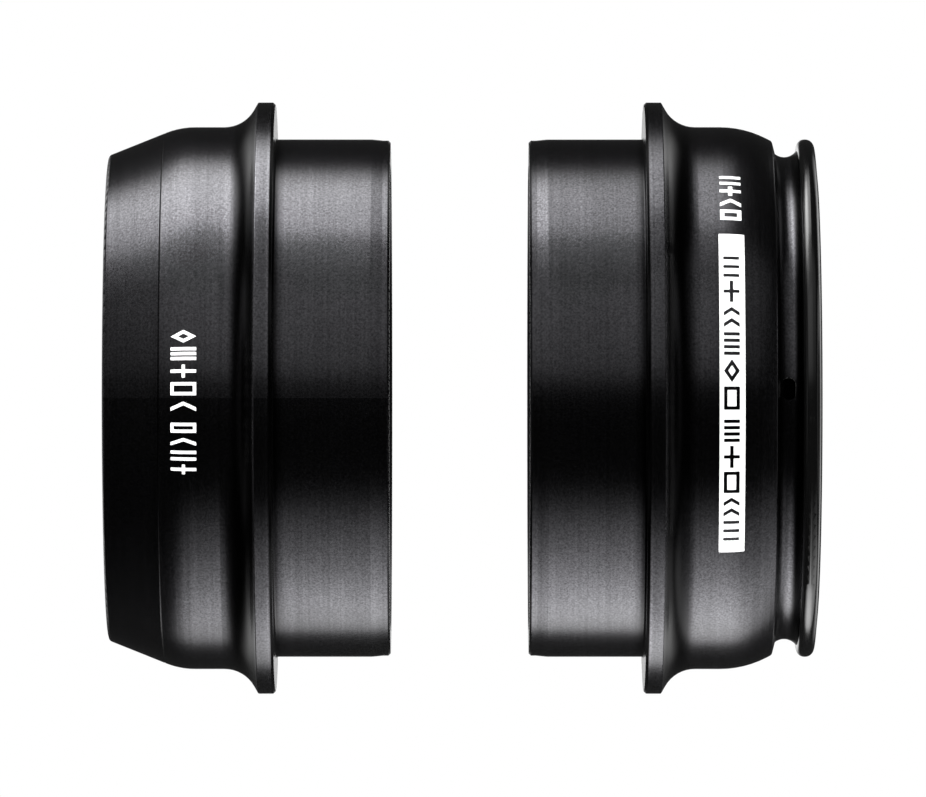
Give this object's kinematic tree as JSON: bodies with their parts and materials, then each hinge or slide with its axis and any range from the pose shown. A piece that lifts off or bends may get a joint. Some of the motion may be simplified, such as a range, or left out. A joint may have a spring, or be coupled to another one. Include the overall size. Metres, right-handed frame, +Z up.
{
  "type": "bottom bracket",
  "caption": "Press-fit bottom bracket: flanged cups that face each other on one axis, with sealed ball bearings for a crank spindle, dust seals, a wave washer and a retaining clip.",
  "frame": {"origin": "on the spindle axis, midway between the flange faces that seat on the shell", "axes": "+X along the spindle axis towards the drive side (right cup), +Y forward, +Z up"},
  "size_m": [0.0573, 0.048, 0.048],
  "materials": {
    "anodised_cup": "black satin anodise over fine turning marks",
    "dust_seal_rubber": "smooth, slightly glossy moulded rubber",
    "bearing_seal_rubber": "matte moulded nitrile rubber",
    "bearing_steel": "ground and polished bearing steel",
    "ball_steel": "lapped mirror-bright steel",
    "spring_steel": "tempered spring steel, lightly oiled",
    "cage_plastic": "moulded glass-filled nylon",
    "marking_white": "thin white screen print"
  },
  "bodies": {
    "left_cup": {"left_cup": "anodised_cup", "left_dust_seal": "dust_seal_rubber", "left_wave_washer": "spring_steel"},
    "left_bearing": {"left_bearing_outer_race": "bearing_steel", "left_bearing_inboard_seal": "bearing_seal_rubber", "left_bearing_outboard_seal": "bearing_seal_rubber"},
    "left_cage": {"left_bearing_cage": "cage_plastic", "left_bearing_balls": "ball_steel"},
    "left_inner": {"left_bearing_inner_race": "bearing_steel"},
    "right_cup": {"right_cup": "anodised_cup", "right_dust_seal": "dust_seal_rubber", "right_retaining_clip": "spring_steel", "right_bearing_outer_race": "bearing_steel", "right_bearing_inboard_seal": "bearing_seal_rubber", "right_bearing_outboard_seal": "bearing_seal_rubber"},
    "right_cage": {"right_bearing_cage": "cage_plastic", "right_bearing_balls": "ball_steel"},
    "right_inner": {"right_bearing_inner_race": "bearing_steel"}
  },
  "joints": [
    {"name": "cup_spacing", "type": "slide", "parent": "left_cup", "child": "right_cup", "axis": [1, 0, 0], "range_m": [0, 0.062]},
    {"name": "left_bearing_float", "type": "slide", "parent": "left_cup", "child": "left_bearing", "axis": [1, 0, 0], "range_m": [0, 0.0006], "stiffness_N_per_m": 5000, "deforming": ["left_wave_washer"]},
    {"name": "left_bearing_spin", "type": "hinge", "parent": "left_bearing", "child": "left_inner", "pos_m": [-0.02295, 0, 0], "axis": [1, 0, 0], "continuous": true},
    {"name": "left_cage_orbit", "type": "hinge", "parent": "left_bearing", "child": "left_cage", "pos_m": [-0.02295, 0, 0], "axis": [1, 0, 0], "continuous": true},
    {"name": "right_bearing_spin", "type": "hinge", "parent": "right_cup", "child": "right_inner", "pos_m": [0.0227, 0, 0], "axis": [1, 0, 0], "continuous": true},
    {"name": "right_cage_orbit", "type": "hinge", "parent": "right_cup", "child": "right_cage", "pos_m": [0.0227, 0, 0], "axis": [1, 0, 0], "continuous": true}
  ],
  "couplings": [
    {"joint": "left_cage_orbit", "follows": "left_bearing_spin", "ratio": 0.44879},
    {"joint": "right_cage_orbit", "follows": "right_bearing_spin", "ratio": 0.44879}
  ]
}
